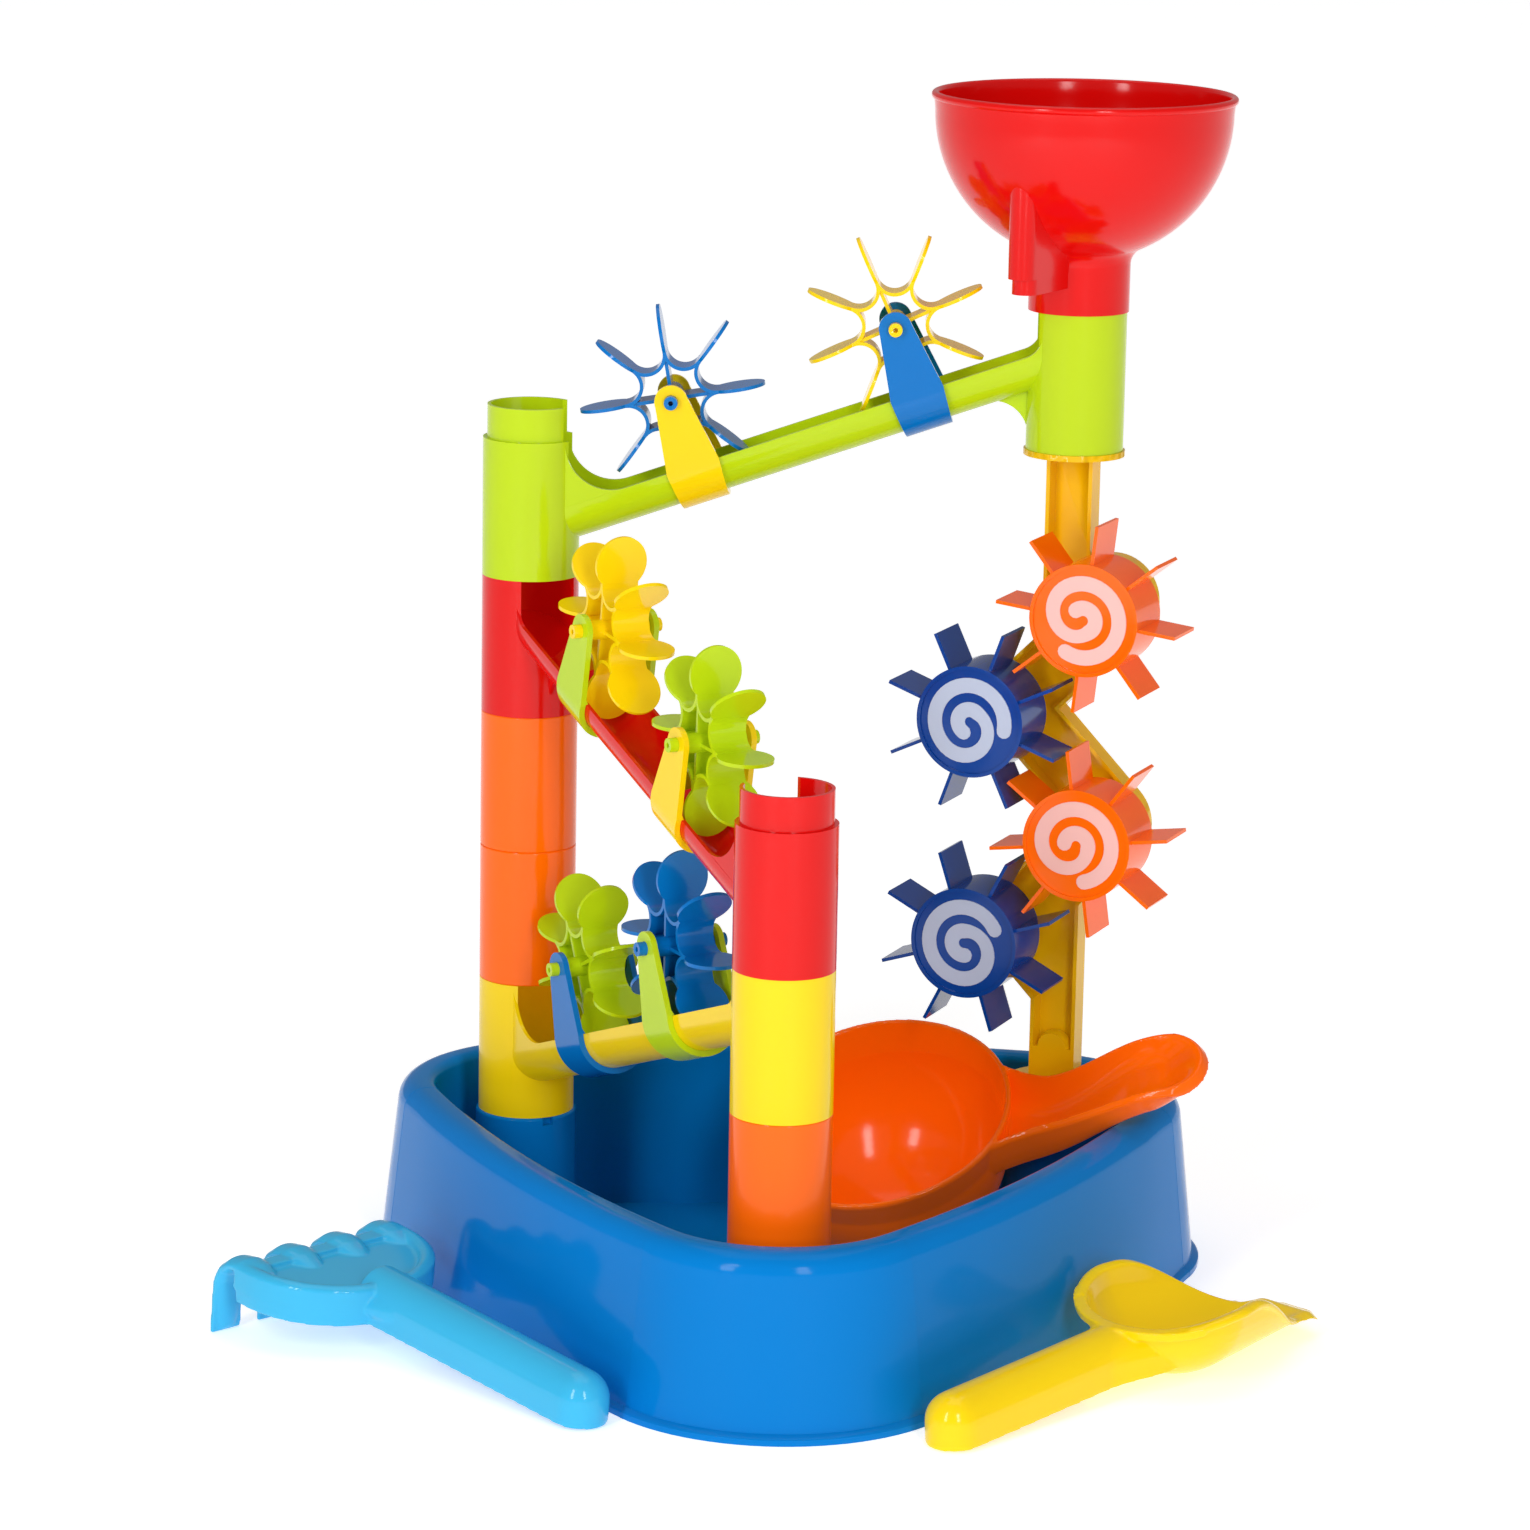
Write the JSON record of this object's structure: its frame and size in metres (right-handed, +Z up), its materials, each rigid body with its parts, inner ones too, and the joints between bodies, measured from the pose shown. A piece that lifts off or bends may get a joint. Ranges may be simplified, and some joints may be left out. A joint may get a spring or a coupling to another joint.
{
  "type": "sand wheel toy",
  "caption": "Sand and water play tower: a three-cornered tub carries tube columns, sloped channels with petal wheels, meshing sand wheels and a funnel, with scoop, rake and shovel.",
  "frame": {"origin": "middle of the three columns, on the tub's flat underside", "axes": "+Z up along the columns, +X from the left column to the right column, -Y to the front column"},
  "size_m": [0.5543, 0.4157, 0.6098],
  "materials": {
    "tub_blue": "moulded",
    "yellow": "moulded",
    "red": "moulded",
    "lime": "moulded",
    "orange": "moulded",
    "rail_yellow": "moulded",
    "mid_blue": "moulded",
    "deep_blue": "moulded",
    "label_peach": "moulded",
    "label_pale": "moulded",
    "pale_blue": "moulded"
  },
  "bodies": {
    "stand": {"tub": "tub_blue", "lower_channel": "yellow", "middle_channel": "red", "upper_channel": "lime", "left_lower_tube": "orange", "left_upper_tube": "orange", "front_tube": "orange", "wheel_rail": "rail_yellow", "funnel": "red", "upper_low_clip": "yellow", "upper_high_clip": "mid_blue", "middle_low_clip": "yellow", "middle_high_clip": "lime", "lower_low_clip": "mid_blue", "lower_high_clip": "lime"},
    "upper_low_spinner": {"upper_low_wheel": "mid_blue"},
    "upper_high_spinner": {"upper_high_wheel": "yellow"},
    "middle_low_spinner": {"middle_low_wheel": "lime"},
    "middle_high_spinner": {"middle_high_wheel": "yellow"},
    "lower_low_spinner": {"lower_low_wheel": "lime"},
    "lower_high_spinner": {"lower_high_wheel": "mid_blue"},
    "sand_spinner_1": {"sand_wheel_1": "orange", "spiral_label_1": "label_peach"},
    "sand_spinner_2": {"sand_wheel_2": "deep_blue", "spiral_label_2": "label_pale"},
    "sand_spinner_3": {"sand_wheel_3": "orange", "spiral_label_3": "label_peach"},
    "sand_spinner_4": {"sand_wheel_4": "deep_blue", "spiral_label_4": "label_pale"},
    "scoop_tool": {"scoop": "orange"},
    "rake_tool": {"rake": "pale_blue"},
    "shovel_tool": {"shovel": "yellow"}
  },
  "joints": [
    {"name": "upper_low_spin", "type": "hinge", "parent": "stand", "child": "upper_low_spinner", "pos_m": [-0.06698, 0.08025, 0.45066], "axis": [0, 1, 0], "continuous": true},
    {"name": "upper_high_spin", "type": "hinge", "parent": "stand", "child": "upper_high_spinner", "pos_m": [0.0462, 0.08025, 0.49052], "axis": [0, 1, 0], "continuous": true},
    {"name": "middle_low_spin", "type": "hinge", "parent": "stand", "child": "middle_low_spinner", "pos_m": [-0.03813, -0.09446, 0.30936], "axis": [-0.866, -0.5, 0], "continuous": true},
    {"name": "middle_high_spin", "type": "hinge", "parent": "stand", "child": "middle_high_spinner", "pos_m": [-0.09024, -0.0042, 0.34606], "axis": [-0.866, -0.5, 0], "continuous": true},
    {"name": "lower_low_spin", "type": "hinge", "parent": "stand", "child": "lower_low_spinner", "pos_m": [-0.10134, 0.01503, 0.16622], "axis": [0.866, 0.5, 0], "continuous": true},
    {"name": "lower_high_spin", "type": "hinge", "parent": "stand", "child": "lower_high_spinner", "pos_m": [-0.053, -0.0687, 0.20027], "axis": [0.866, 0.5, 0], "continuous": true},
    {"name": "sand_wheel_1_spin", "type": "hinge", "parent": "stand", "child": "sand_spinner_1", "pos_m": [0.15731, 0.05883, 0.349], "axis": [-0.3746, -0.9272, 0], "continuous": true},
    {"name": "sand_wheel_2_spin", "type": "hinge", "parent": "stand", "child": "sand_spinner_2", "pos_m": [0.10168, 0.08131, 0.2905], "axis": [-0.3746, -0.9272, 0], "continuous": true},
    {"name": "sand_wheel_3_spin", "type": "hinge", "parent": "stand", "child": "sand_spinner_3", "pos_m": [0.15731, 0.05883, 0.232], "axis": [-0.3746, -0.9272, 0], "continuous": true},
    {"name": "sand_wheel_4_spin", "type": "hinge", "parent": "stand", "child": "sand_spinner_4", "pos_m": [0.10168, 0.08131, 0.1735], "axis": [-0.3746, -0.9272, 0], "continuous": true},
    {"name": "scoop_lift", "type": "slide", "parent": "stand", "child": "scoop_tool", "axis": [-0.4205, -0.841, 0.3404], "range_m": [0, 0.04]},
    {"name": "rake_lift", "type": "slide", "parent": "stand", "child": "rake_tool", "axis": [0, 0, 1], "range_m": [0, 0.1]},
    {"name": "shovel_lift", "type": "slide", "parent": "stand", "child": "shovel_tool", "axis": [0, 0, 1], "range_m": [0, 0.1]}
  ],
  "couplings": [
    {"joint": "sand_wheel_2_spin", "follows": "sand_wheel_1_spin", "ratio": -1},
    {"joint": "sand_wheel_3_spin", "follows": "sand_wheel_1_spin", "ratio": 1},
    {"joint": "sand_wheel_4_spin", "follows": "sand_wheel_1_spin", "ratio": -1}
  ]
}
